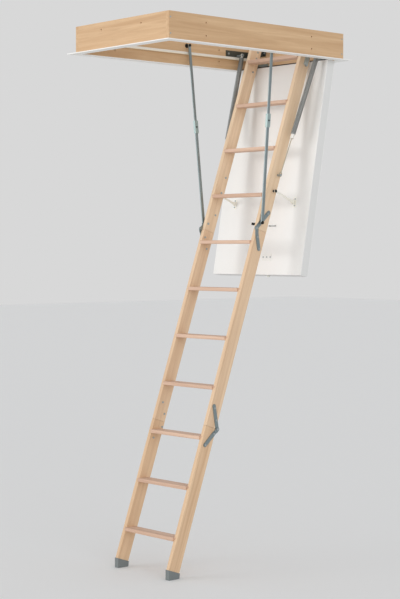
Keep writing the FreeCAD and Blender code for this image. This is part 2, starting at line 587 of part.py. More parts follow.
def leaf(side_name, side, fold, section, upward):
    """A fold hinge's leaf. The one below laps over the one above at the knuckle."""
    name = f"{fold.name}_fold_{section}_leaf_{side_name}"
    lap_x = f"({HALF_OUTER} + leaf_thick + leaf_clear)"
    if upward:
        parts = strap(name, side, fold, True, HALF_OUTER, "leaf_thick", "0", "leaf_reach_up")
    else:
        clear = "((2*leaf_radius + leaf_room)/sin(2*leaf_angle))"
        parts = strap(name, side, fold, False, HALF_OUTER, "(leaf_thick + leaf_clear)", clear, "leaf_reach_down")
        parts += strap(name + "_lap", side, fold, False, lap_x, "leaf_thick", "0", "leaf_overlap")
    carries_stay = upward and fold.name == "upper"
    near = "bolt_near_low" if section == "lower" else "bolt_near"
    spots = [fold.along(distance, upward) for distance in (("bolt_far",) if carries_stay else (near, "bolt_far"))]
    y, z = on_ladder(fold.across, fold.down)
    pin_clear = "0" if upward else "run_clear"
    tools = [side_rod(f"{name}_bolt_hole_{i}", side, "(bolt_radius + hole_clear)", HALF_OUTER, "3*leaf_thick", *spot)
             for i, spot in enumerate(spots)]
    tools.append(side_rod(f"{name}_pin_hole", side, f"(fold_pin_radius + {pin_clear})", HALF_OUTER, "3*leaf_thick", y, z))
    if carries_stay:
        tools.append(side_rod(f"{name}_stay_bolt_hole", side, "(stay_pin_radius + hole_clear)", HALF_OUTER,
                              "leaf_thick", *FOOT_AT))
    both(less(name, fused(name + "_blank", parts), tools), f"{fold.name}_fold_{section}_leaves")
    face = "leaf_thick" if upward else "(leaf_thick + leaf_clear)"
    return [(spot, face) for spot in spots]


def bolt(name, side, spot, face):
    """A bolt through a plate and the stile, with its head outside and its nut on the inner face."""
    y, z = spot
    inner = f"({HALF_INNER} - bolt_head_height)"
    outer = f"({HALF_OUTER} + {face})"
    return fused(name, [
        side_rod(name + "_shank", side, "bolt_radius", inner, f"({outer} - {inner})", y, z),
        side_rod(name + "_head", side, "bolt_head_radius", outer, "bolt_head_height", y, z),
        side_rod(name + "_nut", side, "nut_radius", inner, "bolt_head_height", y, z)])


def drilled_stile(name, side, section, treads, spots, extra):
    body = prism(f"{section}_stile_{name}_blank", "YZ_Plane", stile_outline(section),
                 outward(side, HALF_INNER, "stile_thick"), "stile_thick")
    lean_with_ladder(body)
    tools = list(treads) + extra
    tools += [side_rod(f"{section}_{name}_hole_{i}", side, "(bolt_radius + hole_clear)", f"({HALF_INNER} - 1)",
                       "(stile_thick + 2)", *spot) for i, (spot, _) in enumerate(spots)]
    return node(less(f"{section}_stile_{name}_cut", body, tools), f"{section}_stile_{name}")


LINK_AT = on_ladder(f"({BACK} - link_bolt_edge)", "(-link_bolt_drop)")
SPRING_AT = on_ladder(f"({BACK} - spring_bolt_edge)", "(-spring_bolt_drop)")
LINK_X = f"({HALF_OUTER} + link_gap)"
SPRING_FOOT_X = f"({HALF_OUTER} + spring_foot_gap)"
FOOT_AT = FOLDS["upper"].along("stay_foot_reach", True)
STAY_FOOT_X = f"({HALF_OUTER} + stay_foot_gap)"
LOWER_HALF = "(stay_bar_width/2 + stay_back_clear)"
LOWER_HALF_THICK = "(stay_lower_thick/2)"


def top_plate(name, side):
    """A steel strap on the outside of the stile that takes the pivot pin."""
    blank = prism(f"top_plate_{name}_blank", "YZ_Plane", [
        ("-pivot_boss", "-top_plate_reach"), ("pivot_boss", "-top_plate_reach"), ("pivot_boss", "pivot_boss"), ("-pivot_boss", "pivot_boss")],
        outward(side, HALF_OUTER, "leaf_thick"), "leaf_thick")
    lean_with_ladder(blank)
    spots = [on_ladder("0", f"(-{down})") for down in ("top_bolt_first", "top_bolt_second")]
    bore = side_rod(f"top_plate_{name}_bore", side, "(pivot_radius + run_clear)", HALF_OUTER, "leaf_thick", PIVOT_Y, PIVOT_Z)
    holes = [side_rod(f"top_plate_{name}_hole_{i}", side, "(bolt_radius + hole_clear)", HALF_OUTER, "leaf_thick", *spot)
             for i, spot in enumerate(spots)]
    both(less(f"top_plate_{name}", blank, [bore] + holes), "stile_top_plates")
    return [(spot, "leaf_thick") for spot in spots]


def spigots(name, side):
    """The bolts through the stile that carry the hatch's link, the spring and the stay's foot."""
    inner = f"({HALF_INNER} - bolt_head_height)"

    def piece(label, radius, start, end, spot):
        return side_rod(f"{label}_{name}", side, radius, start, f"({end} - {start})", *spot)

    link_end = f"({LINK_X} + link_thick + ear_gap)"
    spring_start = f"({SPRING_FOOT_X} - spring_eye_thick/2 - spring_eye_clear)"
    spring_end = f"({SPRING_FOOT_X} + spring_eye_thick/2 + spring_eye_clear)"
    stay_end = f"({STAY_FOOT_X} - {LOWER_HALF_THICK} - stay_foot_clear)"
    return [
        fused(f"link_bolt_{name}", [
            piece("link_shank", "link_bolt_radius", inner, link_end, LINK_AT),
            piece("link_collar", "link_nut", HALF_OUTER, f"({LINK_X} - ear_gap)", LINK_AT),
            piece("link_head", "link_bolt_head", link_end, f"({link_end} + bolt_head_height)", LINK_AT),
            piece("link_nut", "link_nut", inner, HALF_INNER, LINK_AT)]),
        fused(f"spring_bolt_{name}", [
            piece("spring_shank", "spring_bolt_radius", inner, spring_end, SPRING_AT),
            piece("spring_collar", "spring_bolt_head", HALF_OUTER, spring_start, SPRING_AT),
            piece("spring_head", "spring_bolt_head", spring_end, f"({spring_end} + bolt_head_height)", SPRING_AT),
            piece("spring_nut", "nut_radius", inner, HALF_INNER, SPRING_AT)]),
        fused(f"stay_bolt_{name}", [
            piece("stay_shank", "stay_pin_radius", inner, stay_end, FOOT_AT),
            piece("stay_nut", "link_nut", inner, HALF_INNER, FOOT_AT)])]


def ladder():
    treads = {section: [tread(number) for number in numbers] for section, numbers in tread_numbers().items()}
    for section, planks in treads.items():
        node(group(f"{section}_tread_set", planks), f"{section}_treads")
    bolts = {section: [] for section in SECTIONS}
    studs, fold_pins = [], {"upper": [], "middle": []}
    for name, side in SIDES.items():
        spots = {section: [] for section in SECTIONS}
        spots["upper"] += leaf(name, side, FOLDS["upper"], "upper", True)
        spots["middle"] += leaf(name, side, FOLDS["upper"], "middle", False)
        spots["middle"] += leaf(name, side, FOLDS["lower"], "middle", True)
        spots["lower"] += leaf(name, side, FOLDS["lower"], "lower", False)
        spots["upper"] += top_plate(name, side)
        for section in SECTIONS:
            extra = []
            if section == "upper":
                extra = [side_rod(f"{name}_stile_pivot_bore", side, "(pivot_radius + run_clear)",
                                  f"({HALF_INNER} - 1)", "(stile_thick + 2)", PIVOT_Y, PIVOT_Z),
                         side_rod(f"{name}_link_bore", side, "(link_bolt_radius + hole_clear)",
                                  f"({HALF_INNER} - 1)", "(stile_thick + 2)", *LINK_AT),
                         side_rod(f"{name}_spring_bore", side, "(spring_bolt_radius + hole_clear)",
                                  f"({HALF_INNER} - 1)", "(stile_thick + 2)", *SPRING_AT),
                         side_rod(f"{name}_stay_bore", side, "(stay_pin_radius + hole_clear)",
                                  f"({HALF_INNER} - 1)", "(stile_thick + 2)", *FOOT_AT)]
            if section == "lower":
                extra = [toe_cut(name, side)]
            blank = drilled_stile(name, side, section, treads[section], spots[section], extra)
            bolts[section] += [bolt(f"{section}_bolt_{name}_{i}", side, spot, face)
                               for i, (spot, face) in enumerate(spots[section])]
        foot_cap(name, side, blank)
        studs += spigots(name, side)
        for section, fold in (("upper", FOLDS["upper"]), ("middle", FOLDS["lower"])):
            y, z = on_ladder(fold.across, fold.down)
            far = f"({HALF_OUTER} + 2*leaf_thick + leaf_clear + run_clear)"
            fold_pins[section].append(fused(f"{fold.name}_fold_pin_{name}", [
                side_rod(f"{fold.name}_fold_shank_{name}", side, "fold_pin_radius", HALF_OUTER,
                         f"({far} - {HALF_OUTER})", y, z),
                side_rod(f"{fold.name}_fold_head_{name}", side, "fold_pin_head", far, "fold_pin_cap", y, z)]))
    bolts["upper"] += studs
    for section in SECTIONS:
        node(group(f"{section}_bolts", bolts[section]), f"{section}_section_bolts")
    node(group("upper_fold_pin_set", fold_pins["upper"]), "upper_fold_pins")
    node(group("lower_fold_pin_set", fold_pins["middle"]), "lower_fold_pins")


CAP_FRONT, CAP_BACK = f"({FRONT} - foot_wall)", f"({BACK} + foot_wall)"
CAP_TOP = floor_line(CAP_FRONT, "foot_height")
CAP_FRONT_AT = on_ladder(CAP_FRONT, CAP_TOP)
CAP_BACK_AT = on_ladder(CAP_BACK, CAP_TOP)


def toe_cut(name, side):
    """The stile's toe is cut upright, so that it goes into a cap with upright walls."""
    return box(f"toe_cut_{name}", (outward(side, f"({HALF_INNER} - 1)", "(stile_thick + 2)"),
                                   f"({CAP_FRONT_AT[0]} + foot_wall - stile_depth)", "(-room_height)"),
               ("(stile_thick + 2)", "stile_depth", "(2*foot_height)"))


def foot_cap(name, side, stile):
    """A plastic cap with upright walls round the foot of the stile."""
    floor = "(-room_height)"
    shell = prism(f"foot_{name}_blank", "YZ_Plane", [
        (CAP_FRONT_AT[0], floor), (f"({CAP_BACK_AT[0]} - foot_heel)", floor), CAP_BACK_AT, CAP_FRONT_AT],
        outward(side, f"({HALF_INNER} - foot_wall)", "(stile_thick + 2*foot_wall)"), "(stile_thick + 2*foot_wall)")
    both(less(f"foot_{name}", shell, [stile]), "foot_caps")


# ---------------------------------------------------------------- stays

ANCHOR_Y = f"({HINGE_FACE} - stay_anchor_inset)"
ANCHOR_Z = "stay_anchor_height"
STAY_Y = f"({FOOT_AT[0]} - {ANCHOR_Y})"
STAY_Z = f"({ANCHOR_Z} - {FOOT_AT[1]})"
STAY_LENGTH = f"sqrt({STAY_Y}^2 + {STAY_Z}^2)"
STAY_TOP_X = f"({HALF_OPEN} - stay_anchor_gap)"
CHANNEL = "(stay_bar_thick + 2*stay_side_clear)"


def stay_x(distance):
    """The middle of a stay across the ladder, at a distance down it."""
    return f"({STAY_TOP_X} - ({STAY_TOP_X} - {STAY_FOOT_X})*({distance})/{STAY_LENGTH})"


def hang_as_stay(thing):
    """Turns a thing that hangs straight down from the stay's anchor into the stay's own line."""
    return place(thing, "0", ANCHOR_Y, ANCHOR_Z, f"(atan2({STAY_Y}; {STAY_Z})/1 deg)", X_AXIS)


def slanted(name, side, begin, end, half, y_from, y_to):
    """A slanted slab that follows the stay from one distance to another."""
    corners = [(f"{side}*({stay_x(begin)} - {half})", f"-({begin})"), (f"{side}*({stay_x(begin)} + {half})", f"-({begin})"),
               (f"{side}*({stay_x(end)} + {half})", f"-({end})"), (f"{side}*({stay_x(end)} - {half})", f"-({end})")]
    return prism(name, "XZ_Plane", corners, f"-({y_to})", f"({y_to}) - ({y_from})")


def stay(name, side):
    knee, reach = "stay_upper", STAY_LENGTH
    half_bar, half_channel = "stay_bar_width/2", f"({CHANNEL}/2)"
    face = f"({HALF_OPEN} - bracket_thick)"

    def cross(label, radius, centre, length, down):
        return rod(f"stay_{name}_{label}", radius, length, f"({side}*{centre} - ({length})/2)", "0", f"-({down})")

    upper = fused(f"stay_upper_{name}_blank", [
        slanted(f"stay_{name}_upper_bar", side, "0", knee, "stay_bar_thick/2", f"-{half_bar}", half_bar),
        cross("upper_eye", half_bar, stay_x("0"), "stay_bar_thick", "0"),
        cross("knee_eye", half_bar, stay_x(knee), "stay_bar_thick", knee)])
    upper_cut = less(f"stay_upper_{name}", upper, [
        cross("anchor_bore", "(stay_pin_radius + run_clear)", stay_x("0"), "4*stay_bar_thick", "0"),
        cross("knee_bore", "(stay_pin_radius + run_clear)", stay_x(knee), "4*stay_bar_thick", knee)])
    node(hang_as_stay(upper_cut), f"stay_upper_{name}")

    begin = f"(stay_upper + stay_bar_width)"
    lower = fused(f"stay_lower_{name}_blank", [
        slanted(f"stay_{name}_lower_bar", side, begin, reach, LOWER_HALF_THICK, f"-{LOWER_HALF}", LOWER_HALF),
        cross("foot_eye", LOWER_HALF, stay_x(reach), "stay_lower_thick", reach)])
    foot_x = f"({STAY_FOOT_X} - {LOWER_HALF_THICK})"
    rivet_length = "stay_lower_thick"
    foot_pin = side_rod(f"stay_{name}_foot_rivet", side, "stay_pin_radius", foot_x, rivet_length, "0", f"-({reach})")
    foot_head = side_rod(f"stay_{name}_foot_head", side, "stay_pin_head", f"({STAY_FOOT_X} + {LOWER_HALF_THICK})",
                         "bolt_head_height", "0", f"-({reach})")
    node(hang_as_stay(less(f"stay_lower_{name}", lower, [foot_pin, foot_head])), f"stay_lower_{name}")

    sleeve_begin, sleeve_end = "(stay_upper - sleeve_length/2)", "(stay_upper + sleeve_length/2)"
    outer = slanted(f"sleeve_{name}_outer", side, sleeve_begin, sleeve_end, f"({half_channel} + sleeve_wall)",
                    f"(-{LOWER_HALF} - sleeve_wall)", f"({LOWER_HALF} + sleeve_lip)")
    inner = slanted(f"sleeve_{name}_inner", side, "(stay_upper - sleeve_length)", "(stay_upper + sleeve_length)", half_channel,
                    f"-{LOWER_HALF}", f"({LOWER_HALF} + 2*sleeve_lip)")
    pin_length = f"({CHANNEL} + 2*sleeve_wall + 2*stay_pin_end)"
    knee_pin = cross("knee_pin", "stay_pin_radius", stay_x(knee), pin_length, knee)
    node(hang_as_stay(less(f"sleeve_{name}", outer, [inner, knee_pin])), f"knee_sleeve_{name}")
    rivet = fused(f"stay_{name}_foot_fastener", [foot_pin, foot_head])
    node(turned_stay(f"stay_{name}_pins", [knee_pin, rivet]), f"stay_pins_{name}")

    plate = side_rod(f"stay_washer_{name}", side, "stay_washer", face, "bracket_thick", ANCHOR_Y, ANCHOR_Z)
    inner_x = f"({STAY_TOP_X} - stay_bar_thick/2 - stay_pin_end)"
    post = side_rod(f"stay_post_{name}", side, "stay_pin_radius", inner_x, f"({face} - {inner_x})", ANCHOR_Y, ANCHOR_Z)
    cap = side_rod(f"stay_post_cap_{name}", side, "stay_pin_head", f"({inner_x} - bolt_head_height)",
                   "bolt_head_height", ANCHOR_Y, ANCHOR_Z)
    both(fused(f"stay_anchor_{name}_blank", [plate, post, cap]), "stay_anchors")


def turned_stay(name, parts):
    return hang_as_stay(group(name, parts))


# ---------------------------------------------------------------- springs

HOOK_Y = f"({HINGE_FACE} - spring_inset)"
HOOK_Z = "spring_height"
SPRING_Y = f"({HOOK_Y} - {SPRING_AT[0]})"
SPRING_Z = f"({HOOK_Z} - {SPRING_AT[1]})"
SPRING_REACH = f"sqrt({SPRING_Y}^2 + {SPRING_Z}^2)"
SPRING_TOP_X = f"({HALF_OPEN} - spring_gap)"
SPRING_SLANT = f"(atan2({SPRING_TOP_X} - {SPRING_FOOT_X}; {SPRING_REACH})/1 deg)"


def hang_as_spring(thing):
    return place(thing, "0", HOOK_Y, HOOK_Z, f"(atan2({SPRING_Y}; {SPRING_Z})/1 deg)", BACKWARD)


def spring(name, side):
    def slanted_rod(label, radius, low, high):
        """A round bar along the spring's own slant, between two distances below its hook."""
        centre = f"{side}*({SPRING_TOP_X} - ({SPRING_TOP_X} - {SPRING_FOOT_X})*({low})/{SPRING_REACH})"
        length = f"((({low}) - ({high}))/cos({SPRING_SLANT}))"
        axis = Y_AXIS if side > 0 else -Y_AXIS
        return rod(f"spring_{name}_{label}", radius, length, centre, "0", f"-({low})", SPRING_SLANT, axis)

    top, bottom = "spring_start", "(spring_start + spring_length)"
    coil = less(f"coil_{name}", slanted_rod("outer", "spring_radius", bottom, top),
                [slanted_rod("inner", "(spring_radius - spring_wire)", f"({bottom} + 1)", f"({top} - 1)")])
    node(hang_as_spring(coil), f"spring_coil_{name}")

    def eye(label, radius, x, down):
        return rod(f"spring_{name}_{label}", radius, "spring_eye_thick", f"({side}*{x} - spring_eye_thick/2)", "0", f"-({down})")

    plug = "(spring_radius - spring_wire)"
    hook = fused(f"spring_hook_{name}_blank", [
        slanted_rod("top_plug", plug, f"({top} + spring_plug)", top),
        slanted_rod("top_neck", "spring_rod_radius", f"({top} + spring_lap)", "spring_eye - spring_lap"),
        eye("top_eye", "spring_eye", SPRING_TOP_X, "0")])
    hook_bore = rod(f"spring_{name}_hook_bore", "(spring_post_radius + run_clear)", "(2*spring_eye_thick)",
                    f"({side}*{SPRING_TOP_X} - spring_eye_thick)", "0", "0")
    upper_fitting = less(f"spring_hook_{name}", hook, [hook_bore])

    foot = SPRING_REACH
    eye_from = f"({foot} - spring_slot)"
    plate = box(f"spring_{name}_slot_plate", (f"({side}*{SPRING_FOOT_X} - spring_eye_thick/2)", "-spring_eye", f"-({foot})"),
                ("spring_eye_thick", "2*spring_eye", "spring_slot"))
    rod_parts = fused(f"spring_rod_{name}_blank", [
        slanted_rod("low_plug", plug, f"({bottom} + spring_cap)", f"({bottom} - spring_plug)"),
        slanted_rod("low_rod", "spring_rod_radius", f"({eye_from} - spring_eye + spring_lap)", bottom),
        eye("slot_top", "spring_eye", SPRING_FOOT_X, eye_from), eye("slot_foot", "spring_eye", SPRING_FOOT_X, foot), plate])
    slot_half = "(spring_bolt_radius + slot_side_clear)"
    slot_x = f"({side}*{SPRING_FOOT_X} - spring_eye_thick)"
    slot = fused(f"spring_{name}_slot", [
        box(f"spring_{name}_slot_gap", (slot_x, f"-{slot_half}", f"-({foot})"),
            ("(2*spring_eye_thick)", f"2*{slot_half}", "spring_slot")),
        rod(f"spring_{name}_slot_end", slot_half, "(2*spring_eye_thick)", slot_x, "0", f"-({foot})"),
        rod(f"spring_{name}_slot_start", slot_half, "(2*spring_eye_thick)", slot_x, "0", f"-({eye_from})")])
    lower_fitting = less(f"spring_rod_{name}", rod_parts, [slot])
    node(hang_as_spring(group(f"spring_{name}_fittings", [upper_fitting, lower_fitting])), f"spring_ends_{name}")


# ---------------------------------------------------------------- links from the ladder to the hatch

SEAT_AT = on_hatch("(-hinge_plate - link_seat)", f"({ATTIC_FACE} + link_stand)")
LINK_Y = f"({SEAT_AT[0]} - {LINK_AT[0]})"
LINK_Z = f"({LINK_AT[1]} - {SEAT_AT[1]})"
LINK_REACH = f"sqrt({LINK_Y}^2 + {LINK_Z}^2)"


def link(name, side):
    x = outward(side, LINK_X, "link_thick")
    ear_x = f"({LINK_X} - 2*ear_gap - bracket_thick)"
    bar = fused(f"link_{name}_blank", [
        box(f"link_{name}_bar", (x, "-link_half", f"-{LINK_REACH}"), ("link_thick", "2*link_half", LINK_REACH)),
        rod(f"link_{name}_top", "link_eye", "link_thick", x, "0", "0"),
        rod(f"link_{name}_foot", "link_eye", "link_thick", x, "0", f"-{LINK_REACH}"),
        side_rod(f"link_{name}_stub", side, "link_pin_radius", f"({LINK_X} - ear_gap)", "(link_thick/2 + ear_gap)",
                 "0", f"-{LINK_REACH}")])
    bore = rod(f"link_{name}_bore", "(link_bolt_radius + run_clear)", "link_thick", x, "0", "0")
    strap_cut = less(f"hatch_link_{name}", bar, [bore])
    place(strap_cut, "0", LINK_AT[0], LINK_AT[1], f"(atan2({LINK_Y}; {LINK_Z})/1 deg)", X_AXIS)
    node(strap_cut, f"hatch_link_{name}")

    seat_y = "(-hinge_plate - link_seat)"
    ear = outward(side, ear_x, "bracket_thick")
    seat = fused(f"link_seat_{name}_blank", [
        box(f"link_seat_{name}_plate", (outward(side, ear_x, "ear_foot"), f"({seat_y} - ear_plate/2)", ATTIC_FACE),
            ("ear_foot", "ear_plate", "bracket_thick")),
        box(f"link_seat_{name}_ear", (ear, f"({seat_y} - ear_half)", ATTIC_FACE), ("bracket_thick", "2*ear_half", "link_stand")),
        rod(f"link_seat_{name}_round", "ear_half", "bracket_thick", ear, seat_y, f"({ATTIC_FACE} + link_stand)")])
    both(turned(f"link_seat_{name}_set", [seat]), "link_brackets")
    screw_x = f"{side}*({ear_x} + (bracket_thick + ear_foot)/2)"
    return [upright(f"link_seat_{name}_screw_{end}", "hatch_screw_radius", "hatch_screw_height", screw_x,
                    f"({seat_y} + {end}*(ear_plate/2 - ear_screw_inset))", f"({ATTIC_FACE} + bracket_thick)")
            for end in (-1, 1)]


# ---------------------------------------------------------------- the whole

frame_screws = frame()
stop_bead()
hatch()
hatch_hinges()
hatch_screws = latch()
pole_clips()
ladder()
pivot_pins, spring_posts = [], []
for side_name, side_sign in SIDES.items():
    pivot_pin, heads, post = pivot_bracket(side_name, side_sign)
    pivot_pins.append(pivot_pin)
    frame_screws += heads
    spring_posts.append(post)
    stay(side_name, side_sign)
    spring(side_name, side_sign)
    hatch_screws += link(side_name, side_sign)
node(group("pivot_pin_set", pivot_pins), "ladder_pivot_pins")
node(group("spring_post_set", spring_posts), "spring_posts")
node(group("frame_screw_set", frame_screws), "frame_screws")
node(turned("hatch_screw_set", hatch_screws), "hatch_screws")
for pair_label, pair in pairs.items():
    node(group(pair_label + "_pair", pair), pair_label)

doc.recompute()
failed = [thing.Name for thing in doc.Objects if {"Invalid", "Error"} & set(thing.State)]
if failed:
    raise RuntimeError(f"these objects did not recompute: {failed}")
for thing in nodes:
    if thing.Shape.isNull() or not thing.Shape.isValid() or not thing.Shape.Solids:
        raise RuntimeError(f"{thing.Label} has no sound shape")

os.makedirs("parts", exist_ok=True)
for thing in nodes:
    thing.Shape.exportStep(f"parts/{thing.Label}.step")
print(len(nodes), "nodes")
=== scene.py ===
import math

import bmesh
import bpy
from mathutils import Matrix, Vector


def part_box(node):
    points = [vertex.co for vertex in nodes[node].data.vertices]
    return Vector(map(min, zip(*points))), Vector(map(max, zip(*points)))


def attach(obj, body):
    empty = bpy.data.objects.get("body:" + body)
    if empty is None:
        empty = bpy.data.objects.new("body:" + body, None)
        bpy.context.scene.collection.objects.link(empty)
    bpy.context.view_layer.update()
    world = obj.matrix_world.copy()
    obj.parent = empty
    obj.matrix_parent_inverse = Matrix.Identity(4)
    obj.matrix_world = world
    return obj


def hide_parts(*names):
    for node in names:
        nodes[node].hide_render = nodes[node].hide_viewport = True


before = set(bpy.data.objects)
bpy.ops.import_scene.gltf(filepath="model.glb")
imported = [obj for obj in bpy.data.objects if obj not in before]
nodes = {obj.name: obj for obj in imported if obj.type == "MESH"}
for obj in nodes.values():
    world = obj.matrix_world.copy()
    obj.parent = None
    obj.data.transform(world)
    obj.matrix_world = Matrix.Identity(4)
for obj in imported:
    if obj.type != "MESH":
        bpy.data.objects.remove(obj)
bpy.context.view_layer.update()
scene = bpy.context.scene

# ---------------------------------------------------------------- camera

SENSOR_MM = 36
FOCAL_PER_HEIGHT = 1526.4 / 599
CAMERA_PLACE = (5.656, -5.692, -0.956)
CAMERA_YAW, CAMERA_PITCH = 48.40, -1.88
CAMERA_REACH = 60


def add_camera():
    lens = bpy.data.cameras.new("camera")
    lens.sensor_width = SENSOR_MM
    lens.sensor_fit = "AUTO"
    lens.lens = SENSOR_MM * FOCAL_PER_HEIGHT
    lens.clip_end = CAMERA_REACH
    camera = bpy.data.objects.new("camera", lens)
    camera.location = CAMERA_PLACE
    camera.rotation_euler = (math.radians(90 + CAMERA_PITCH), 0, math.radians(CAMERA_YAW))
    scene.collection.objects.link(camera)
    scene.camera = camera


# ---------------------------------------------------------------- materials

# Where the Mix node keeps its factor, its two colours and its result.
MIX_FACTOR, MIX_FIRST, MIX_SECOND, MIX_RESULT = 0, 6, 7, 2


class Shader:
    """A node material with short calls for the few nodes that it needs."""

    def __init__(self, name, roughness, metallic=0.0, specular=None):
        self.material = bpy.data.materials.new(name)
        self.material.use_nodes = True
        self.tree = self.material.node_tree
        self.shader = self.tree.nodes["Principled BSDF"]
        self.feed("Roughness", roughness)
        self.feed("Metallic", metallic)
        if specular is not None:
            self.feed("Specular IOR Level", specular)

    def feed(self, name, value):
        """Sets one of the surface's inputs to a value, a colour or a node's output."""
        if isinstance(value, bpy.types.NodeSocket):
            self.tree.links.new(value, self.shader.inputs[name])
        else:
            colour = isinstance(value, tuple)
            self.shader.inputs[name].default_value = (*value, 1) if colour else value

    def node(self, kind, inputs=None, **settings):
        made = self.tree.nodes.new("ShaderNode" + kind)
        for key, value in settings.items():
            setattr(made, key, value)
        for key, value in (inputs or {}).items():
            if isinstance(value, bpy.types.NodeSocket):
                self.tree.links.new(value, made.inputs[key])
            else:
                made.inputs[key].default_value = value
        return made

    def here(self):
        """Object coordinates, in metres."""
        return self.node("TexCoord").outputs["Object"]

    def position(self, scale=(1, 1, 1), turn=(0, 0, 0)):
        """Object coordinates, turned and then stretched."""
        turned = self.node("Mapping", {"Vector": self.here(), "Rotation": turn}).outputs[0]
        return self.node("Mapping", {"Vector": turned, "Scale": scale}).outputs[0]

    def noise(self, vector, scale, detail, roughness=0.5, distortion=0.0):
        return self.node("TexNoise", {"Vector": vector, "Scale": scale, "Detail": detail,
                                      "Roughness": roughness,
                                      "Distortion": distortion}).outputs["Fac"]

    def ramp(self, value, low, high):
        """Grey values or colours between two stops, each a place and what stands there."""
        ramp = self.node("ValToRGB", {"Fac": value})
        for element, (at, colour) in zip(ramp.color_ramp.elements, (low, high)):
            element.position = at
            element.color = (*colour, 1) if isinstance(colour, tuple) else (*[colour] * 3, 1)
        return ramp.outputs["Color"]

    def mix(self, factor, first, second):
        """One colour at 0 and another at 1."""
        mixed = self.node("Mix", data_type="RGBA", blend_type="MIX")
        for index, value in ((MIX_FACTOR, factor), (MIX_FIRST, first), (MIX_SECOND, second)):
            if isinstance(value, bpy.types.NodeSocket):
                self.tree.links.new(value, mixed.inputs[index])
            else:
                mixed.inputs[index].default_value = (*value, 1)
        return mixed.outputs[MIX_RESULT]

    def bump(self, height, distance, strength):
        made = self.node("Bump", {"Height": height, "Distance": distance, "Strength": strength})
        self.feed("Normal", made.outputs[0])

    def near(self, places, reach):
        """1 within a reach of any of some places, and 0 elsewhere."""
        here = self.here()
        total = 0.0
        for place in places:
            away = self.node("VectorMath", {0: here, 1: place}, operation="DISTANCE")
            inside = self.node("Math", {0: away.outputs["Value"], 1: reach},
                               operation="LESS_THAN").outputs[0]
            total = self.node("Math", {0: total, 1: inside}, operation="MAXIMUM").outputs[0]
        return total

    def beyond(self, axis, value):
        """1 where a coordinate is above a value, and 0 elsewhere."""
        along = self.node("SeparateXYZ", {0: self.here()}).outputs[axis]
        return self.node("Math", {0: along, 1: value}, operation="GREATER_THAN").outputs[0]


def linear(*colour):
    """A colour as it looks on screen, in parts of 255, as a linear one."""
    return tuple(((c / 255 + 0.055) / 1.055) ** 2.4 if c > 10 else c / 255 / 12.92
                 for c in colour)


def darker(colour, share):
    return tuple(value * share for value in colour)


def stretched(along, lengthwise, across):
    """A scale for each axis: one along the grain and another across it."""
    return tuple(lengthwise if axis == along else across for axis in "xyz")


# How far each pattern of the wood is pressed together, along the grain and across it.
STREAKS, BANDS, PORES, KNOTS = (1.2, 60), (0.6, 14), (3.6, 180), (0.45, 1)


def wood(name, light, dark, along, lean=0.0, knots=0.0):
    """Planed wood. Its grain runs along one axis, after a turn about X."""
    shade = Shader(name, roughness=0.55, specular=0.35)

    def grain(pattern):
        return shade.position(stretched(along, *pattern), (lean, 0, 0))

    streak = shade.noise(grain(STREAKS), scale=3.2, detail=6, roughness=0.6)
    bands = shade.noise(grain(BANDS), scale=2.4, detail=3, roughness=0.55, distortion=0.8)
    pores = shade.noise(grain(PORES), scale=3.0, detail=2)
    base = shade.ramp(bands, (0.28, dark), (0.72, light))
    grained = shade.mix(shade.ramp(streak, (0.35, 0.0), (0.75, 0.35)), base, dark)
    flecks = shade.ramp(pores, (0.56, 0.0), (0.72, 0.25))
    colour = shade.mix(flecks, grained, darker(dark, 0.6))
    if knots:
        cells = shade.node("TexVoronoi", {"Vector": grain(KNOTS), "Scale": 5.2})
        spot = shade.ramp(cells.outputs["Distance"], (0.03, knots), (0.075, 0.0))
        colour = shade.mix(spot, colour, darker(dark, 0.35))
    shade.feed("Base Color", colour)
    shade.bump(streak, distance=0.0004, strength=0.35)
    return shade.material


def clouded(shade, colour, darkest, scale, detail, patch):
    """A colour in faint clouds. Where the patch's mask is 1 it takes the patch's colour."""
    cloud = shade.noise(shade.position(), scale, detail)
    base = shade.ramp(cloud, (0.3, darker(colour, darkest)), (0.7, colour))
    if patch:
        other, mask = patch
        base = shade.mix(mask(shade), base, other)
    shade.feed("Base Color", base)


def steel(name, colour, rough=0.38, metallic=0.75, patch=None):
    """Plated sheet or wire."""
    shade = Shader(name, roughness=rough, metallic=metallic)
    clouded(shade, colour, darkest=0.94, scale=45, detail=4, patch=patch)
    worn = shade.noise(shade.position(), scale=160, detail=3)
    shade.feed("Roughness", shade.ramp(worn, (0.3, rough - 0.08), (0.7, rough + 0.1)))
    shade.bump(shade.noise(shade.position(), scale=900, detail=2), distance=0.00008, strength=0.3)
    return shade.material


def painted(name, colour, rough=0.5, grain=500, depth=0.00008, patch=None):
    """Paint, plastic or rubber."""
    shade = Shader(name, roughness=rough, specular=0.4)
    clouded(shade, colour, darkest=0.98, scale=6, detail=3, patch=patch)
    shade.bump(shade.noise(shade.position(), grain, detail=3), depth, strength=0.4)
    return shade.material


# ---------------------------------------------------------------- looks of the CAD pieces

LADDER_LEAN = math.radians(19.39)
STILE_WOODS = {
    "upper": ((244, 218, 188), (224, 194, 160)),
    "middle": ((240, 211, 178), (216, 182, 148)),
    "lower": ((236, 204, 168), (210, 174, 138)),
}
BEECH = (228, 196, 172), (202, 166, 142)
PINE = (222, 188, 148), (198, 160, 120)
PINE_KNOTS = 0.8
HATCH_WHITE = (240, 240, 238)
ZINC = (142, 154, 156)
BRIGHT_ZINC = (168, 176, 178)

# Where a piece changes its colour, in metres. The bolt and the foot are those on the right.
LINK_BOLT, LINK_BOLT_REACH = (0.2185, -0.3613, -0.6655), 0.018
STAY_FOOT, STAY_FOOT_REACH = (0.2205, -0.4523, -0.8242), 0.009
SPRING_CAP_LOW_Z = -0.4022
# Above this height the hatch's attic skin is painted near-black: a painted shadow of the gap at the
# hinge edge, not a part.
HINGE_GAP_SHADOW_LOW_Z = -0.0035
MIDDLE_X = 0.0


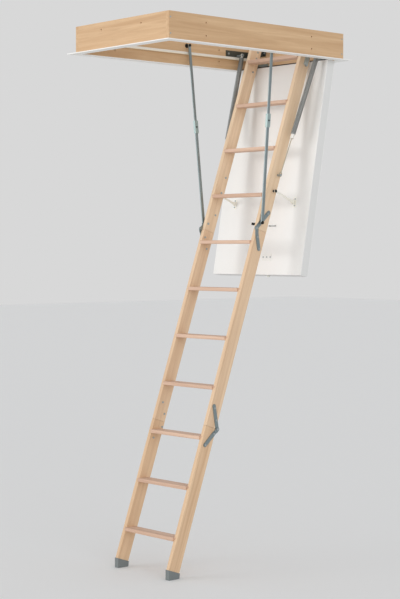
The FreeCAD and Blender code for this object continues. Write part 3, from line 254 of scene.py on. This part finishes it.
def around_both(place, reach):
    """A mask round a place and its mirror image."""
    places = [place, (-place[0], place[1], place[2])]
    return lambda shade: shade.near(places, reach)


def past(axis, value):
    """A mask of all that lies above a value on one axis."""
    return lambda shade: shade.beyond("XYZ".index(axis), value)


def dress(material, *names):
    for name in names:
        slots = nodes[name].data.materials
        if not len(slots):
            slots.append(material)
        for index in range(len(slots)):
            slots[index] = material


def dress_wood():
    for section, (light, dark) in STILE_WOODS.items():
        stile = wood("stile_" + section, linear(*light), linear(*dark), "z", LADDER_LEAN)
        dress(stile, f"{section}_stile_left", f"{section}_stile_right")
    light, dark = linear(*BEECH[0]), linear(*BEECH[1])
    dress(wood("tread_beech", light, dark, "x"), "upper_treads", "middle_treads", "lower_treads")
    light, dark = linear(*PINE[0]), linear(*PINE[1])
    dress(wood("board_pine_long", light, dark, "y", knots=PINE_KNOTS),
          "side_board_left", "side_board_right")
    dress(wood("board_pine_short", light, dark, "x", knots=PINE_KNOTS),
          "end_board_hinge_end", "end_board_latch_end")


def dress_painted():
    # A near-black band along the top of the hatch's attic skin: painted shadow of the gap between
    # the hatch and the hinge-end board, not a part.
    painted_gap_shadow = linear(58, 56, 54), past("Z", HINGE_GAP_SHADOW_LOW_Z)
    dress(painted("trim_white", linear(246, 245, 242)), "ceiling_trim")
    dress(painted("bead_white", linear(238, 232, 220)), "stop_bead")
    dress(painted("hatch_white", linear(*HATCH_WHITE), rough=0.42), "hatch_room_skin")
    dress(painted("hatch_white_with_painted_gap_shadow", linear(*HATCH_WHITE), rough=0.42, patch=painted_gap_shadow),
          "hatch_attic_skin")
    dress(painted("hatch_edge_white", linear(226, 226, 224)), "hatch_rails")
    dress(painted("cover_white", linear(236, 236, 233), rough=0.4), "latch_cover")
    dress(painted("foam", linear(236, 234, 222), rough=0.9, grain=220, depth=0.0004),
          "hatch_insulation")
    dress(painted("seal_cream", linear(242, 232, 208), rough=0.7), "hatch_seal")
    dress(painted("cap_grey", linear(122, 128, 128), rough=0.6, grain=700), "foot_caps")


def dress_steel():
    black_foot = linear(40, 42, 40), around_both(STAY_FOOT, STAY_FOOT_REACH)
    black_link_bolt = linear(40, 42, 38), around_both(LINK_BOLT, LINK_BOLT_REACH)
    bright_rest = linear(158, 160, 158), past("X", MIDDLE_X)
    pale_cap = linear(236, 233, 226), past("Z", SPRING_CAP_LOW_Z)
    dress(steel("zinc_sheet", linear(*ZINC)), "stay_upper_left", "stay_upper_right",
          "upper_fold_upper_leaves", "upper_fold_middle_leaves",
          "lower_fold_middle_leaves", "lower_fold_lower_leaves",
          "hatch_hinge_frame_leaves", "hatch_hinge_hatch_leaves")
    dress(steel("stay_zinc", linear(*ZINC), patch=black_foot),
          "stay_lower_left", "stay_lower_right")
    dress(steel("top_plate_zinc", linear(196, 208, 208), rough=0.4, metallic=0.55),
          "stile_top_plates")
    dress(steel("bracket_zinc", linear(92, 94, 86), rough=0.45), "pivot_brackets")
    dress(steel("black_bolt", linear(44, 46, 44), rough=0.5),
          "stay_anchors", "stay_pins_left", "stay_pins_right")
    dress(steel("sleeve_zinc", linear(166, 184, 183), rough=0.42, metallic=0.65),
          "knee_sleeve_left", "knee_sleeve_right")
    dress(steel("bolt_zinc", linear(*BRIGHT_ZINC), rough=0.34, metallic=0.5, patch=black_link_bolt),
          "upper_section_bolts")
    dress(steel("fastener_zinc", linear(*BRIGHT_ZINC), rough=0.34, metallic=0.5),
          "frame_screws", "hatch_screws", "middle_section_bolts", "lower_section_bolts",
          "upper_fold_pins", "lower_fold_pins", "hatch_hinge_pins", "ladder_pivot_pins",
          "spring_posts")
    dress(steel("link_zinc", linear(246, 243, 232), rough=0.45, metallic=0.35),
          "hatch_link_left", "hatch_link_right", "link_brackets")
    dress(steel("latch_zinc", linear(190, 190, 184), rough=0.35),
          "latch_key_socket", "latch_tongue")
    dress(steel("clip_steel", linear(70, 70, 68), rough=0.45, patch=bright_rest), "pole_clips")
    dress(steel("spring_fitting", linear(186, 176, 156), rough=0.4, metallic=0.4, patch=pale_cap),
          "spring_ends_left", "spring_ends_right")


# ---------------------------------------------------------------- springs

WIRE_RADIUS = 0.0015
COIL_TURNS_PER_METRE = 1 / 0.0036
STEPS_IN_A_TURN = 14
WIRE_SIDES = 7
# Vertices past this share of the longest reach along the line belong to its ends.
END_SHARE = 0.97


def points_of(name):
    return [Vector(v.co) for v in nodes[name].data.vertices]


def mean(points):
    return sum(points, Vector()) / len(points)


def axis_of(name):
    """The two ends of a long slanted node's centre line, from its own vertices."""
    points = points_of(name)
    middle = mean(points)
    far = max(points, key=lambda p: (p - middle).length)
    guess = (far - middle).normalized()
    reach = (far - middle).length * END_SHARE
    top = mean([p for p in points if (p - middle).dot(guess) > reach])
    low = mean([p for p in points if (p - middle).dot(guess) < -reach])
    return (top, low) if top.z > low.z else (low, top)


def object_from(mesh, name, material):
    """A scene object from a bmesh, which is used up."""
    data = bpy.data.meshes.new(name)
    mesh.to_mesh(data)
    mesh.free()
    data.materials.append(material)
    made = bpy.data.objects.new(name, data)
    scene.collection.objects.link(made)
    return made


def coil(name, body, material):
    """A close-wound wire spring along the node's own line."""
    top, low = axis_of(name)
    line = (low - top).normalized()
    side = line.orthogonal().normalized()
    other = line.cross(side)
    radius = max(((p - top) - line * (p - top).dot(line)).length for p in points_of(name))
    radius -= WIRE_RADIUS
    length = (low - top).length - 2 * WIRE_RADIUS
    steps = int(length * COIL_TURNS_PER_METRE) * STEPS_IN_A_TURN
    mesh = bmesh.new()
    rings = []
    for step in range(steps + 1):
        angle = 2 * math.pi * step / STEPS_IN_A_TURN
        centre = top + line * (WIRE_RADIUS + length * step / steps)
        out = side * math.cos(angle) + other * math.sin(angle)
        ring = []
        for corner in range(WIRE_SIDES):
            around = 2 * math.pi * corner / WIRE_SIDES
            ring.append(mesh.verts.new(centre + out * (radius + WIRE_RADIUS * math.cos(around))
                                       + line * WIRE_RADIUS * math.sin(around)))
        rings.append(ring)
    for first, second in zip(rings, rings[1:]):
        for corner in range(WIRE_SIDES):
            after = (corner + 1) % WIRE_SIDES
            mesh.faces.new((first[corner], first[after], second[after], second[corner]))
    mesh.faces.new(rings[0][::-1])
    mesh.faces.new(rings[-1])
    bmesh.ops.recalc_face_normals(mesh, faces=mesh.faces)
    piece = object_from(mesh, name + "_wire", material)
    for face in piece.data.polygons:
        face.use_smooth = True
    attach(piece, body)
    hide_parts(name)


def add_springs():
    wire = steel("spring_wire", linear(158, 160, 158), rough=0.34, metallic=0.65)
    for side in ("left", "right"):
        coil("spring_coil_" + side, "spring_" + side, wire)


# ---------------------------------------------------------------- stage

FLOOR_HALF_SIDE = 30
FLOOR_COLOUR = (240, 240, 239)
BACKDROP_COLOUR = (216, 216, 216)
SKY_COLOUR, SKY_STRENGTH = (236, 237, 239), 0.78
AIM = (0, -0.5, -1)
SUNS = (  # name, strength, from where, spread in degrees, colour
    ("key", 1.35, (-2.6, -6, -0.5), 30, (1, 0.99, 0.975)),
    ("fill", 0.5, (6, -2, -0.4), 50, (1, 1, 1)),
    ("inner", 0.5, (5, -4, -0.6), 60, (1, 1, 1)),
    ("under", 0.3, (1, -3, -6), 60, (1, 1, 1)),
)


def add_floor():
    shade = Shader("floor_pale", roughness=0.8, specular=0.2)
    shade.feed("Base Color", linear(*FLOOR_COLOUR))
    mesh = bmesh.new()
    bmesh.ops.create_grid(mesh, x_segments=2, y_segments=2, size=FLOOR_HALF_SIDE)
    floor = object_from(mesh, "floor", shade.material)
    floor.location = (0, 0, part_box("foot_caps")[0][2])


def add_world():
    """Even light from the sky, with a plain grey backdrop where the camera sees it."""
    world = bpy.data.worlds.new("world")
    scene.world = world
    world.use_nodes = True
    tree = world.node_tree
    sky = tree.nodes["Background"]
    sky.inputs["Color"].default_value = (*linear(*SKY_COLOUR), 1)
    sky.inputs["Strength"].default_value = SKY_STRENGTH
    backdrop = tree.nodes.new("ShaderNodeBackground")
    backdrop.inputs["Color"].default_value = (*linear(*BACKDROP_COLOUR), 1)
    choose = tree.nodes.new("ShaderNodeMixShader")
    path = tree.nodes.new("ShaderNodeLightPath")
    tree.links.new(path.outputs["Is Camera Ray"], choose.inputs[0])
    tree.links.new(sky.outputs[0], choose.inputs[1])
    tree.links.new(backdrop.outputs[0], choose.inputs[2])
    tree.links.new(choose.outputs[0], tree.nodes["World Output"].inputs["Surface"])


def add_suns():
    for name, strength, place, spread, colour in SUNS:
        data = bpy.data.lights.new(name, "SUN")
        data.energy = strength
        data.color = colour
        data.angle = math.radians(spread)
        sun = bpy.data.objects.new(name, data)
        sun.location = place
        towards = Vector(AIM) - Vector(place)
        sun.rotation_euler = towards.to_track_quat("-Z", "Y").to_euler()
        scene.collection.objects.link(sun)


add_camera()
dress_wood()
dress_painted()
dress_steel()
add_springs()
add_floor()
add_world()
add_suns()
scene.view_settings.view_transform = "Standard"
